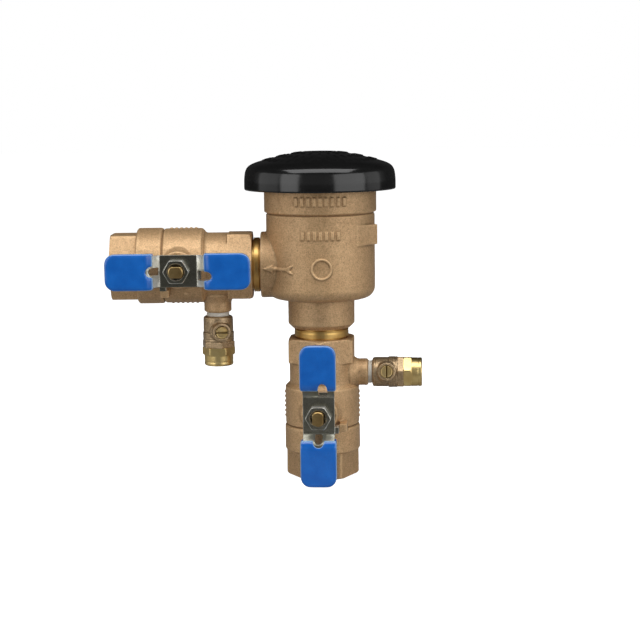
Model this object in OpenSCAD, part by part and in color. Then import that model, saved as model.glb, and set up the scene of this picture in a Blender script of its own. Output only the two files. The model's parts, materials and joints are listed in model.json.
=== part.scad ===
// One-inch pressure vacuum breaker backflow preventer, with its two shutoff valves and two test cocks.
// Millimetres. +Z is up and along the inlet, the outlet leaves toward -X, the handles face -Y.
// The origin is the centre of the inlet end face.

/* [Assembly] */
// Sub-part to draw, or all of them
// Height of the outlet axis above the inlet end face
outlet_z = 130; // [129:0.5:131]
// X of the outlet end face
outlet_end_x = -127.7; // [-129:0.1:-126]
// Make-up angle of the inlet valve about the inlet axis, degrees
inlet_clock = 4; // [0:0.5:8]
// Make-up angle of the outlet test cock about its own axis, degrees
outlet_cock_clock = -13.5; // [-16:0.5:16]
// Make-up angle of the inlet test cock about its own axis, degrees
inlet_cock_clock = -9.5; // [-16:0.5:16]

/* [Shutoff valves] */
// Overall length of a shutoff valve, face to face
valve_len = 86; // [84:0.5:88]
// Distance of the stem axis from the valve's outer end face
stem_z = 42; // [41.5:0.1:42.5]
// Across flats of the hex on the screwed end piece
end_hex_af = 39.2; // [39:0.1:39.8]
// Across flats of the hex cast on the valve body
body_hex_af = 39.6; // [39.2:0.1:40]
// Radius of the ball
ball_r = 18; // [17.9:0.05:18]
// Radius of the full-port waterway
port_r = 12.5; // [12:0.1:12.7]
// Radius of a one-inch pipe thread bore at its crest line
npt_r = 15.2; // [15:0.05:15.3]
// Depth of a one-inch pipe thread bore
npt_len = 17; // [16:0.5:17]

/* [Handles] */
// Width of the handle plate
plate_w = 19.2; // [18.6:0.1:19.6]
// Thickness of the handle plate
plate_t = 2.5; // [2.2:0.1:2.6]
// Distance from the pipe axis to the underside of the plate
plate_y = 30; // [29.5:0.1:30.5]
// How far the wings stand above the flat centre
wing_rise = 6; // [5:0.5:7]
// Thickness of the vinyl dip on the wings
grip_t = 1.4; // [1:0.1:1.5]
// Length of each S bend along the arm
bend_len = 9.2; // [8.6:0.1:9.4]
// Arm length from the stem toward the breaker body
arm_in = 44.3; // [43:0.1:45]
// Arm length from the stem away from the breaker body
arm_out = 42.2; // [40:0.1:43]

/* [Test cocks] */
// Distance of a test cock's axis from the valve's outer end face
cock_z = 63.9; // [63:0.1:65]
// Distance from the valve axis to the test cock's stem
cock_stem_u = 40.4; // [40:0.1:41]
// Distance from the valve axis to the test cock's open end
cock_end_u = 62; // [61:0.5:63]
// Radius of a quarter-inch pipe thread bore
cock_npt_r = 5.7; // [5.6:0.05:5.8]

/* [Breaker body] */
// Outside radius of the cast body
body_r = 33.2; // [32.5:0.1:33.5]
// Outside radius of the thickened rim under the canopy
rim_r = 34.3; // [34:0.1:35]
// Inside radius of the float chamber
chamber_r = 28.8; // [28.5:0.1:29]
// Radius of the inlet collar and the outlet boss
boss_r = 20.4; // [20:0.1:20.6]
// Outside radius of the canopy
canopy_r = 46; // [45:0.5:47]
// Extra length of inlet nipple left showing below the body
nipple_show = 1.2; // [0:0.1:1.5]

/* [Hidden] */
$fn = 96;
bronze = [0.72, 0.48, 0.33];
brass = [0.85, 0.65, 0.30];
zinc = [0.75, 0.74, 0.72];
blue = [0.04, 0.15, 0.62];
white = [0.93, 0.92, 0.90];
black = [0.05, 0.05, 0.05];
grey = [0.55, 0.57, 0.60];
steel = [0.80, 0.80, 0.82];
rubber = [0.16, 0.10, 0.09];
// clearance between neighbouring parts, and the finer one at balls, grips and discs
gap = 0.05;
fine_gap = 0.02;

// ---------- helpers ----------
// Catmull-Rom point on segment i, at the given fraction of it
function curve_point(points, i, part) =
  let (last = len(points) - 1,
    before = points[max(i - 1, 0)],
    start = points[i],
    end = points[min(i + 1, last)],
    after = points[min(i + 2, last)])
  0.5 * (2 * start + (end - before) * part
    + (2 * before - 5 * start + 4 * end - after) * part * part
    + (3 * start - before - 3 * end + after) * part * part * part);
function smooth(points, steps) = concat(
  [for (i = [0:len(points) - 2]) for (k = [0:steps - 1]) curve_point(points, i, k / steps)],
  [points[len(points) - 1]]);

// solid of revolution from (radius, z) points
module turned(points) rotate_extrude() polygon(points);
// cylinder on the Z axis
module rod(radius, bottom, height) translate([0, 0, bottom]) cylinder(r = radius, h = height);
// square-sectioned ring on the Z axis
module ring(inner, outer, bottom, top) translate([0, 0, bottom]) difference() {
  cylinder(r = outer, h = top - bottom);
  rod(inner, -1, top - bottom + 2);
}
// round-sectioned ring centred at height z
module o_ring(mid_r, wire_r, z) translate([0, 0, z])
  rotate_extrude() translate([mid_r, 0]) circle(r = wire_r);
// ring hollowed to fit a ball at the origin
module ball_seat(bore_r, outer, bottom, top, ball) difference() {
  ring(bore_r, outer, bottom, top);
  sphere(r = ball + fine_gap);
}

// hex bar whose corners are turned down to corner_r, with optional chamfers at its faces
module turned_hex(flats, bottom, top, corner_r, low_chamfer = 0, high_chamfer = 0, angle = 0)
  intersection() {
    translate([0, 0, bottom]) rotate([0, 0, angle])
      cylinder(r = flats / sqrt(3), h = top - bottom, $fn = 6);
    turned(concat(
      [[0, bottom]],
      low_chamfer > 0
        ? [[corner_r - low_chamfer * 1.3, bottom], [corner_r, bottom + low_chamfer]]
        : [[corner_r, bottom]],
      high_chamfer > 0
        ? [[corner_r, top - high_chamfer], [corner_r - high_chamfer * 1.3, top]]
        : [[corner_r, top]],
      [[0, top]]));
  }

// faceted wire coil about Z; its first and last turns lie closed against their neighbours
module coil(mid_r, wire_r, bottom, top, turns) {
  turn_steps = 20;
  steps = round(turns * turn_steps);
  sides = 8;
  low = bottom + wire_r;
  high = top - wire_r;
  closed_pitch = 2.15 * wire_r;
  function height_at(turn) =
    turn < 1 ? low + turn * closed_pitch
    : turn > turns - 1 ? high - (turns - turn) * closed_pitch
    : low + closed_pitch + (high - low - 2 * closed_pitch) * (turn - 1) / (turns - 2);
  points = [for (i = [0:steps]) for (k = [0:sides - 1])
    let (around = i * 360 / turn_steps, section = 360 * k / sides,
      radius = mid_r + wire_r * cos(section))
    [radius * cos(around), radius * sin(around),
      height_at(i / turn_steps) + wire_r * sin(section)]];
  faces = concat(
    [[for (k = [0:sides - 1]) sides - 1 - k]],
    [for (i = [0:steps - 1]) for (k = [0:sides - 1]) let (next = (k + 1) % sides)
      [i * sides + next, (i + 1) * sides + next, (i + 1) * sides + k, i * sides + k]],
    [[for (k = [0:sides - 1]) steps * sides + k]]);
  polyhedron(points = points, faces = faces, convexity = 10);
}

// ---------- placements ----------
// the two shutoff valves: local Z runs from the open end into the breaker
module at_inlet() rotate([0, 0, -inlet_clock]) children();
module at_outlet() translate([outlet_end_x, 0, outlet_z + nipple_show])
  rotate([0, 90, 0]) children();
// the breaker itself stands on the inlet nipple
module lift() translate([0, 0, nipple_show]) children();
// test cocks: local Z runs away from the valve's axis
module at_cock(clock) translate([0, 0, cock_z]) rotate([0, 90, 0]) rotate([0, 0, clock])
  children();
// stems: local Z runs out of the valve through the handle
module at_stem() translate([0, 0, stem_z]) rotate([90, 0, 0]) children();
module at_cock_stem() translate([0, 0, cock_stem_u]) rotate([90, 0, 0]) children();

// ---------- shutoff valve ----------
split_z = 15.7;        // where the end piece's hex meets the body
sleeve_r = 19.8;       // part of the end piece inside the body
seat_r = 17;
stem_r = 5.5;
stem_foot_r = 7.4;
stud_r = 4.6;          // stem above the gland
stud_flat = 3.3;       // stem axis to each flat of the double-D
packing_r = 8.45;
lug_x = 12.1;          // inner face of the handle's stop lug
lug_z = -10.5;         // outer end of the lug, from the stem axis

module valve_body() color(bronze) difference() {
  union() {
    turned([[0, split_z + gap], [22.2, split_z + gap], [23.2, 16.6], [23.2, 30.6],
      [22.9, 31.3], [22.2, 31.6], [22.2, 32.4], [22.8, 32.8], [22.8, 55.2],
      [22.2, 56.3], [20.7, 57.3], [20, 58.4], [20, 74], [0, 74]]);
    turned_hex(body_hex_af, 71, valve_len, 22.7, high_chamfer = 1.4, angle = 30);
    // stem boss
    at_stem() turned([[0, 5], [14.5, 5], [14.5, 16.6], [12.9, 19.4], [11.7, 21.6],
      [11.2, 23], [11.2, 26.4], [10.6, 27], [0, 27]]);
    // stop lug for the handle
    translate([lug_x, -27.5, stem_z + lug_z]) cube([4.5, 18, 5]);
    // test cock boss
    at_cock(0) turned([[0, 8], [11, 8], [11, 18.4], [9.6, 20.2], [8.6, 21.8],
      [8.3, 23], [8.3, 28], [7.5, 28.8], [0, 28.8]]);
  }
  // end piece bore, ball cavity, seat pocket, waterway, pipe thread bore
  rod(sleeve_r + gap, 10, 23.2);
  rod(18.5, 30, 21);
  rod(seat_r + gap, 50, 8);
  rod(port_r, 55, 20);
  rod(npt_r, valve_len - npt_len, npt_len + 5);
  translate([0, 0, valve_len - 1.2]) cylinder(r1 = npt_r, r2 = npt_r + 1.8, h = 1.8);
  // stem way
  at_stem() {
    rod(7.6, 10, 10.5);
    rod(stem_r + gap, 15, 10);
    rod(packing_r + gap, 22, 10);
  }
  // test port
  at_cock(0) {
    rod(cock_npt_r, 19, 15);
    rod(3.5, 8, 15);
  }
}

// screwed end piece
module valve_end(hex_angle) color(bronze) difference() {
  union() {
    turned_hex(end_hex_af, 0, split_z, 22.4, low_chamfer = 0.7, angle = hex_angle);
    rod(sleeve_r, 14, 19);
  }
  rod(npt_r, -5, npt_len + 5);
  rod(port_r, 10, 30);
  rod(seat_r + gap, stem_z - 16.05, 10);
}

module valve_seat() ball_seat(port_r, seat_r, 9.05, 16, ball_r);
module valve_seats() color(white) translate([0, 0, stem_z]) {
  valve_seat();
  mirror([0, 0, 1]) valve_seat();
}
module valve_packing() color(white) at_stem() {
  ring(stem_r + gap, packing_r, 22.02, 23.4);
  ring(stem_r + gap, packing_r, 23.45, 24.8);
}
module valve_gland() color(brass) at_stem() difference() {
  union() {
    rod(packing_r, 24.85, 2.5);
    rod(17.5 / sqrt(3), 27.05, 2.75, $fn = 6);
  }
  rod(stem_r + gap, 20, 15);
}
module valve_ball() color(steel) translate([0, 0, stem_z]) difference() {
  sphere(r = ball_r);
  rod(port_r, -25, 50);
  // slot for the stem's tongue
  translate([-25, -25, -2.5]) cube([50, 11, 5]);
}
module valve_stem() color(brass) at_stem() {
  shoulder = plate_y - gap;
  difference() {
    union() {
      rod(stem_foot_r, 18.2, 2.25);
      rod(stem_r, 19, shoulder - 19);
      rod(stud_r, 25, 15.4);
      translate([0, 0, 40.39]) cylinder(r1 = stud_r, r2 = 4.0, h = 0.6);
      // tongue in the ball's slot
      intersection() {
        rod(stem_foot_r, 14.1, 5);
        translate([-10, -2.45, 14.1]) cube([20, 4.9, 5]);
      }
    }
    // double-D flats
    for (side = [-1, 1])
      translate([side * (stud_flat + 5) - 5, -10, shoulder]) cube([10, 20, 20]);
  }
}

// ---------- valve handle ----------
// Distances along the arm run from the stem, positive toward the breaker.
flat_in = 11.6;        // where the inner S bend starts
flat_out = 9.4;        // where the outer S bend starts
plate_start = -arm_out + grip_t;
plate_end = arm_in - grip_t;
plate_corner_r = 4.6;
slot_bottom = plate_y - 1;
slot_in_x = 2.7;
slot_in_end = 18.8;
slot_out_start = -10.8;

// centre line of the plate: flat at the stem, an S bend on each side, flat wings
function bend_part(along) =
  along > flat_in ? min((along - flat_in) / bend_len, 1)
  : along < -flat_out ? min((-along - flat_out) / bend_len, 1)
  : 0;
function mid_y(along) =
  plate_y + plate_t / 2 + wing_rise * (1 - cos(180 * bend_part(along))) / 2;
function slope(along) = (mid_y(along + 0.05) - mid_y(along - 0.05)) / 0.1;
arm_stations = concat(
  [plate_start, -22],
  [for (i = [0:12]) -flat_out - bend_len * (1 - i / 12)],
  [for (i = [0:12]) flat_in + bend_len * i / 12],
  [23, plate_end]);

// side view of the plate in (distance along the arm, distance out), grown all round
module plate_profile(grow) {
  last = len(arm_stations) - 1;
  function end_shift(i) = i == 0 ? -grow : i == last ? grow : 0;
  function edge(i, offset_out) =
    let (along = arm_stations[i], rise = slope(along), scale_by = sqrt(1 + rise * rise))
    [along + end_shift(i) - offset_out * rise / scale_by, mid_y(along) + offset_out / scale_by];
  polygon(concat(
    [for (i = [0:last]) edge(i, -plate_t / 2 - grow)],
    [for (i = [0:last]) edge(last - i, plate_t / 2 + grow)]));
}
// plan of a rounded bar, in (x, along the arm)
module bar_plan(start, end, half_w, corner_r) {
  inset_x = half_w - corner_r;
  union() {
    translate([-half_w, start + corner_r]) square([2 * half_w, end - start - 2 * corner_r]);
    translate([-inset_x, start]) square([2 * inset_x, end - start]);
    for (x = [-inset_x, inset_x]) for (y = [start + corner_r, end - corner_r])
      translate([x, y]) circle(r = corner_r);
  }
}
// plan drawn in (x, along the arm), pushed outward from y = -low to y = -high
module plan_slab(low, high) translate([0, -low, 0]) rotate([90, 0, 0])
  linear_extrude(height = high - low) children();
module profile_slab(half_w, grow) translate([-half_w, 0, 0]) rotate([90, 0, 90])
  linear_extrude(height = 2 * half_w) rotate([0, 0, 90]) plate_profile(grow);
// bent, round-cornered bar: the plate grown by grow, cut to the given ends
module bent_bar(start, end, grow, corner_r, low, high) intersection() {
  profile_slab(plate_w / 2 + grow, grow);
  plan_slab(low, high) bar_plan(start, end, plate_w / 2 + grow, corner_r);
}
// slot plan with one square end and one round end
module slot(mid_x, square_end, round_end, radius) {
  translate([mid_x - radius, min(square_end, round_end)])
    square([2 * radius, abs(round_end - square_end)]);
  translate([mid_x, round_end]) circle(r = radius);
}

module valve_handle() color(zinc) translate([0, 0, stem_z]) difference() {
  union() {
    bent_bar(plate_start, plate_end, 0, plate_corner_r,
      plate_y - 1, plate_y + wing_rise + plate_t + 1);
    // ear bent toward the valve beside the stop lug
    ear_x = plate_w / 2 - 0.3;
    translate([ear_x, -plate_y - 1.8, lug_z]) cube([lug_x - gap - ear_x, 7.8, 3.9]);
    // lanced tab that meets the lug when shut
    translate([-0.05, -plate_y - 2.6, 12]) cube([5.45, 8.6, 2.2]);
  }
  plan_slab(slot_bottom, plate_y + 12) slot(slot_in_x, 12.7, slot_in_end, 2.75);
  plan_slab(slot_bottom, plate_y + 12) slot(0, slot_out_start, -14, 2.2);
  // double-D hole for the stem
  plan_slab(slot_bottom, plate_y + 4) intersection() {
    circle(r = stud_r + gap);
    square([2 * (stud_flat + gap), 20], center = true);
  }
}
module grip_blank(start, end) bent_bar(start, end, grip_t, 6,
  plate_y - 3, plate_y + wing_rise + plate_t + 3);
module valve_grips() color(blue) translate([0, 0, stem_z]) difference() {
  union() {
    // the dips stop square at their inner ends
    intersection() {
      grip_blank(-arm_out, 0);
      translate([-20, -60, -60]) cube([40, 60, 60 - 13.6]);
    }
    intersection() {
      grip_blank(0, arm_in);
      translate([-20, -60, 16.3]) cube([40, 60, 60]);
    }
  }
  // room for the plate
  bent_bar(plate_start - fine_gap, plate_end + fine_gap, fine_gap, plate_corner_r,
    plate_y - 3, plate_y + 14);
  plan_slab(plate_y - 3, plate_y + 14) {
    slot(slot_in_x, 10, slot_in_end, 2.15);
    slot(0, slot_out_start, -14.8, 2.7);
  }
}
module valve_nut(hex_angle) color(zinc) at_stem() {
  plate_top = plate_y + plate_t;
  chamfer_z = plate_top + 5.4;
  top = plate_top + 6.1;
  difference() {
    intersection() {
      translate([0, 0, plate_top + fine_gap]) rotate([0, 0, hex_angle])
        cylinder(r = 13.9 / sqrt(3), h = 6, $fn = 6);
      turned([[0, plate_top], [7.8, plate_top], [7.8, chamfer_z], [7.1, top], [0, top]]);
    }
    rod(stud_r + gap, plate_y, 10);
    translate([0, 0, chamfer_z]) cylinder(r1 = stud_r + gap, r2 = 5.3, h = 0.7);
  }
}

// ---------- test cock ----------
cock_ball_r = 5;
cock_port_r = 2.6;
cock_sleeve_r = 6.5;   // part of the end piece inside the body
cock_stem_r = 2.3;
cock_collar_r = 3.05;  // stem collar below the O-ring

module cock_body() color(bronze) difference() {
  union() {
    // threaded shank
    turned([[0, 20], [5.2, 20], [5.65, 20.6], [5.65, 28.85], [6.1, 29], [6.1, 31.4], [0, 31.4]]);
    turned([[0, 31.35], [7.9, 31.35], [8.9, 32], [9.15, 33], [9.15, 40.6],
      [8.95, 41], [9.55, 41.4], [9.55, 46.9], [0, 46.9]]);
    turned_hex(18.4, 46.8, 50.6, 10.4, angle = 30);
    // stem boss
    at_cock_stem() turned([[0, 3], [6.6, 3], [6.6, 8], [5.6, 9.6], [5.6, 11.8],
      [5.3, 12.1], [0, 12.1]]);
  }
  // waterway, seat bore, end piece bore
  rod(3, 15, 25);
  rod(5.06, 33.9, 11);
  rod(cock_sleeve_r + gap, 44, 10);
  at_cock_stem() {
    rod(cock_stem_r + gap, 3, 6);
    rod(cock_collar_r + gap, 3, 2.9);
    rod(3.95, 8.2, 10);
  }
}
// ball turned shut, its port across the waterway
module cock_ball() color(steel) translate([0, 0, cock_stem_u]) difference() {
  rotate([0, 90, 0]) sphere(r = cock_ball_r);
  rotate([0, 90, 0]) rod(cock_port_r, -10, 20);
  translate([-10, -10, -0.8]) cube([20, 6.4, 1.6]);
}
module cock_seat() ball_seat(cock_port_r, 5, 2.1, 6.4, cock_ball_r);
module cock_seats() color(white) translate([0, 0, cock_stem_u]) {
  // the seat toward the open end is cut short
  difference() {
    cock_seat();
    rod(9, 4.5, 5);
  }
  mirror([0, 0, 1]) cock_seat();
}
module cock_stem() color(brass) at_cock_stem() difference() {
  union() {
    // tongue in the ball's slot
    translate([-1.9, -0.75, 3.65]) cube([3.8, 1.5, 1.6]);
    rod(cock_collar_r, 5.04, 0.8);
    rod(cock_stem_r, 5.5, 5);
    rod(3.3, 9.75, 3.3);
  }
  // slot across the outer end
  translate([-5, -0.55, 11.6]) cube([10, 1.1, 5]);
}
module cock_oring() color(black) at_cock_stem() o_ring(3.13, 0.74, 8.98);
module cock_end(hex_angle) color(brass) difference() {
  union() {
    rod(cock_sleeve_r, 44.95, 6);
    turned_hex(17.8, 50.65, 55.5, 10.1, low_chamfer = 0.5, high_chamfer = 0.5,
      angle = hex_angle);
    turned([[0, 55], [8.9, 55], [8.9, cock_end_u - 0.5], [8.45, cock_end_u], [0, cock_end_u]]);
  }
  rod(cock_port_r, 40, 30);
  rod(cock_npt_r, 51.5, 15);
}
module cock_tape() color(white) ring(6.15, 6.85, 28.9, 31.25);

// ---------- breaker casting and nipples ----------
body_bottom = 90.9;
outlet_face = 36.7;    // distance of the outlet boss face from the body axis
body_corner_r = 6.5;
bore_r = 13;           // waterway through the nipples and the check seat
check_seat_r = 17;
guide_r = 19.55;
poppet_stem_r = 3;     // check poppet

// local Z runs out along the outlet axis, from the given distance off the body axis
module at_outlet_axis(distance) translate([-distance, 0, outlet_z]) rotate([0, -90, 0])
  children();
// whatever is drawn across the casting's surface becomes a raised mark
module relief(radius, height) intersection() {
  difference() {
    cylinder(r = radius + height, h = 300);
    rod(radius - 0.6, -1, 302);
  }
  children();
}
// row of upright bars reaching from the body axis toward -Y
module bars(count, height, bottom) {
  pitch = 3.6;
  width = 1.7;
  for (i = [0:count - 1])
    translate([(i - (count - 1) / 2) * pitch - width / 2, -60, bottom])
      cube([width, 60, height]);
}
// flow arrow in (x, z) from its tail, pointing toward the outlet
arrow_points = [[-17.6, 0], [-12.2, 2.1], [-12.2, 0.8], [-4, 0.8], [-1.6, 2.4], [0, 2.4],
  [-1.8, 0], [0, -2.4], [-1.6, -2.4], [-4, -0.8], [-12.2, -0.8], [-12.2, -2.1]];
module arrow_bar() translate([-17, 0, 129.4]) rotate([90, 0, 0])
  linear_extrude(height = 60) polygon(arrow_points);

module body_outer() {
  turned(concat(
    [[0, body_bottom], [17.6, body_bottom], [boss_r, 93.7], [boss_r, 108.9],
      [boss_r + 0.6, 109.5]],
    [for (i = [0:8]) let (angle = -88 + 88 * i / 8)
      [body_r - body_corner_r + body_corner_r * cos(angle), 116 + body_corner_r * sin(angle)]],
    [[body_r, 160.9], [body_r - 0.5, 161.3], [body_r - 0.5, 161.9],
      [rim_r, 162.6], [rim_r, 177.5], [rim_r - 0.5, 178], [0, 178]]));
  // outlet boss
  at_outlet_axis(0) turned([[0, 0], [boss_r - 0.2, 0], [boss_r - 0.2, 36.1],
    [boss_r - 0.8, outlet_face], [0, outlet_face]]);
  // cast pad
  rotate([0, 0, -34.4]) translate([0, 0, 143]) linear_extrude(height = 12.2)
    polygon([[20, -8.2], [32.6, -8.2], [35.9, 8.7], [20, 8.7]]);
  // flow arrow, running from the body onto the boss
  relief(body_r, 0.7) arrow_bar();
  intersection() {
    at_outlet_axis(30) ring(boss_r - 1, boss_r + 0.45, -6, 5.5);
    arrow_bar();
  }
  // plain cast patterns
  relief(body_r, 0.55) bars(7, 4.8, 147.4);
  relief(rim_r, 0.5) bars(9, 5, 167.5);
  relief(body_r, 0.6) translate([0.5, 0, 130]) rotate([90, 0, 0])
    linear_extrude(height = 60) difference() {
      circle(r = 6.4);
      circle(r = 5.3);
    }
}
module body_casting() color(bronze) difference() {
  body_outer();
  // float chamber, sparing the inner end of the outlet boss
  difference() {
    turned([[0, 116.5], [22.5, 116.5], [24, 115.2], [27.2, 115.2], [chamber_r, 117],
      [chamber_r, 166], [0, 166]]);
    at_outlet_axis(20.5) cylinder(r = 19, h = 20);
  }
  // bonnet thread bore
  rod(30, 165, 20);
  // inlet bore, ledge, seat pocket and guide pocket
  rod(npt_r, 85, 20.9);
  translate([0, 0, body_bottom - 1.2]) cylinder(r1 = npt_r + 1.9, r2 = npt_r, h = 1.9);
  rod(bore_r, 100, 20);
  rod(check_seat_r + gap, 109, 10);
  rod(guide_r + gap, 113.5, 10);
  // outlet bore
  at_outlet_axis(19) cylinder(r = npt_r, h = 25);
  at_outlet_axis(outlet_face - 1.2) cylinder(r1 = npt_r, r2 = npt_r + 1.9, h = 1.9);
}

// close nipple between two socket faces: threaded ends at the root radius,
// full pipe radius where it shows
module nipple(low_face, high_face) color(brass) {
  engaged = 14;        // length screwed into each socket
  runout = 0.65;       // thread left outside each socket
  thread_r = npt_r - gap;
  pipe_r = 16.7;
  tip_r = 14.6;
  low = low_face - engaged;
  high = high_face + engaged;
  shown_low = low_face + runout;
  shown_high = high_face - runout;
  difference() {
    turned([[0, low], [tip_r, low], [thread_r, low + 0.8], [thread_r, shown_low],
      [pipe_r, shown_low + 0.02], [pipe_r, shown_high - 0.02], [thread_r, shown_high],
      [thread_r, high - 0.8], [tip_r, high], [0, high]]);
    rod(bore_r, low - 1, high - low + 2);
  }
}
module inlet_nipple() nipple(86 - nipple_show, body_bottom);
module outlet_nipple() at_outlet_axis(outlet_face) nipple(0, 4.8);

// ---------- check valve ----------
module check_seat() color(grey) turned([[bore_r, 109.02], [15.2, 109.02], [15.2, 110.7],
  [check_seat_r, 110.7], [check_seat_r, 113.45], [14.4, 113.45], [14.1, 118],
  [13.4, 118], [bore_r, 117.6]]);
module check_seat_oring() color(black) o_ring(16.12, 0.8, 109.86);
module check_guide() color(grey) difference() {
  union() {
    ring(14.7, guide_r, 113.52, 116.5);
    // three posts with arms to the hub
    for (angle = [30, 150, 270]) rotate([0, 0, angle]) {
      translate([16.8, -2.4, 114]) cube([2.4, 4.8, 28]);
      translate([3, -1.5, 138]) cube([16.1, 3, 4]);
    }
    rod(5.6, 137.5, 5.5);
  }
  rod(poppet_stem_r + gap, 130, 20);
}
module check_spring() color(steel) coil(7, 0.55, 122.55, 137.45, 6);
module check_poppet() color(grey) difference() {
  union() {
    turned([[0, 120.02], [15.8, 120.02], [15.8, 121.6], [9.4, 122.5], [5.2, 122.5],
      [5.2, 124.5], [poppet_stem_r, 124.5], [poppet_stem_r, 144.2], [2.6, 144.6], [0, 144.6]]);
    rod(poppet_stem_r, 116.8, 4);
  }
  rod(1.55, 110, 16);
}
module check_disc() color(rubber) ring(poppet_stem_r + gap, 15.2, 118.02, 120);
module check_washer() color(steel) difference() {
  ring(1.8, 9.5, 115.2, 118);
  rod(poppet_stem_r + gap, 116.75, 3);
}
module check_screw() color(steel) difference() {
  union() {
    rod(3.6, 112.7, 2.45);
    rod(1.5, 113, 11);
  }
  // hex socket
  rod(1.6, 112.2, 1.7, $fn = 6);
}

// ---------- bonnet, canopy and air inlet ----------
module bonnet() color(grey) difference() {
  union() {
    turned([[17, 167], [18.4, 167], [19.2, 168.4], [29.4, 168.4], [29.95, 169],
      [29.95, 178.04], [33.4, 178.04], [33.4, 181], [27.5, 181], [26.6, 180.4],
      [26.6, 171.4], [17, 171.4]]);
    // hub, its three arms, and three posts between them under the top ring
    rod(6.2, 176, 5);
    for (angle = [90, 210, 330]) rotate([0, 0, angle]) {
      translate([4, -1.7, 176.4]) cube([24, 3.4, 4.2]);
      rotate([0, 0, 60]) translate([27.4, -4.5, 180]) cube([3.4, 9, 10.5]);
    }
    ring(25.5, 32.1, 189.4, 192);
  }
  rod(3.55, 170, 20);
  // groove for the bonnet seal
  ring(30.05, 32.05, 176.5, 179.3);
}
module bonnet_oring() color(black) o_ring(31.05, 0.6, 178.68);

// canopy stations in (radius, z), drawn for a canopy radius of 46
canopy_outer = [[46.2, 180], [45.9, 184], [45.2, 187], [43.9, 189], [41.8, 190.6],
  [38.8, 192.1], [34.6, 193.7], [29.6, 195.1], [24, 196.4], [16, 197.9], [7.2, 198.7],
  [0, 198.9]];
canopy_inner = [[0, 196.5], [7.2, 196.3], [16, 195.4], [24, 193.9], [33, 192.3],
  [38.4, 189.9], [41.6, 187.8], [43.2, 185], [43.7, 181]];
module canopy() color(black) {
  outline = concat([[45.8, 176], [46.2, 176.4]], smooth(canopy_outer, 3),
    smooth(canopy_inner, 3), [[43.7, 176.4], [44.1, 176]]);
  turned([for (point = outline) [point[0] * canopy_r / 46, point[1]]]);
  // snap ring and stop ring that sit on the bonnet
  ring(32.2, 34.2, 187.5, 193.2);
  ring(27, 33, 192.02, 193.9);
  // plain raised rings on the dome
  turned([[28.6, 194.4], [28.8, 195.95], [30.2, 195.6], [30.4, 194.1]]);
  turned([[12.4, 197.4], [12.6, 198.85], [13.9, 198.75], [14.1, 197.2]]);
}
module air_poppet() color(grey) difference() {
  turned([[0, 154.5], [18.6, 154.5], [20.5, 155.2], [20.5, 156.5], [7, 156.5],
    [7, 159.2], [6.2, 160], [3.5, 160], [3.5, 181.1], [2.6, 181.1], [2.6, 182.4],
    [3.5, 182.4], [3.5, 183.4], [3, 184], [0, 184]]);
  rod(1.2, 154, 3);
}
module air_seal() color(rubber) ring(7.05, 20.3, 156.52, 158.98);
module air_retainer() color(steel) difference() {
  ring(2.65, 6, 181.15, 182.35);
  translate([-1.2, 0, 180]) cube([2.4, 10, 4]);
}
module air_spring() color(steel) coil(5, 0.4, 160.05, 175.95, 6);

// ---------- nodes ----------
module inlet_cock() at_inlet() at_cock(inlet_cock_clock) children();
module outlet_cock() at_outlet() at_cock(outlet_cock_clock) children();

lift() body_casting();
lift() inlet_nipple();
lift() outlet_nipple();
lift() check_seat();
lift() check_seat_oring();
lift() check_guide();
lift() check_spring();
lift() bonnet();
lift() bonnet_oring();
lift() canopy();
lift() air_spring();
lift() check_poppet();
lift() check_disc();
lift() check_washer();
lift() check_screw();
lift() air_poppet();
lift() air_seal();
lift() air_retainer();

at_inlet() valve_body();  // inlet_valve_body
at_inlet() valve_end(inlet_clock);  // inlet_valve_end
at_inlet() valve_seats();  // inlet_ball_seats
at_inlet() valve_packing();  // inlet_stem_packing
at_inlet() valve_gland();  // inlet_stem_gland
at_inlet() valve_ball();  // inlet_ball
at_inlet() valve_stem();  // inlet_stem
at_inlet() valve_handle();  // inlet_handle
at_inlet() valve_grips();  // inlet_handle_grips
at_inlet() valve_nut(0);  // inlet_handle_nut

at_outlet() valve_body();  // outlet_valve_body
at_outlet() valve_end(30);  // outlet_valve_end
at_outlet() valve_seats();  // outlet_ball_seats
at_outlet() valve_packing();  // outlet_stem_packing
at_outlet() valve_gland();  // outlet_stem_gland
at_outlet() valve_ball();  // outlet_ball
at_outlet() valve_stem();  // outlet_stem
at_outlet() valve_handle();  // outlet_handle
at_outlet() valve_grips();  // outlet_handle_grips
at_outlet() valve_nut(30);  // outlet_handle_nut

inlet_cock() cock_body();  // inlet_cock_body
inlet_cock() cock_end(18 - inlet_cock_clock);  // inlet_cock_end
inlet_cock() cock_seats();  // inlet_cock_seats
inlet_cock() cock_oring();  // inlet_cock_oring
inlet_cock() cock_tape();  // inlet_cock_tape
inlet_cock() cock_ball();  // inlet_cock_ball
inlet_cock() cock_stem();  // inlet_cock_stem

outlet_cock() cock_body();  // outlet_cock_body
outlet_cock() cock_end(-outlet_cock_clock);  // outlet_cock_end
outlet_cock() cock_seats();  // outlet_cock_seats
outlet_cock() cock_oring();  // outlet_cock_oring
outlet_cock() cock_tape();  // outlet_cock_tape
outlet_cock() cock_ball();  // outlet_cock_ball
outlet_cock() cock_stem();  // outlet_cock_stem
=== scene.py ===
"""A breaker with two ball valves, dressed over its CAD pieces.

+Z is up and the front faces -Y. The inlet valve stands under the body on the Z axis, the
outlet valve lies to the left (-X) of it, and a black canopy tops the body. Each valve has
a handle at the front and a small test cock on its side. Pieces are worked out in
millimetres and written in metres; stage, lights and camera are in metres.
"""

import json
import math

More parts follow.
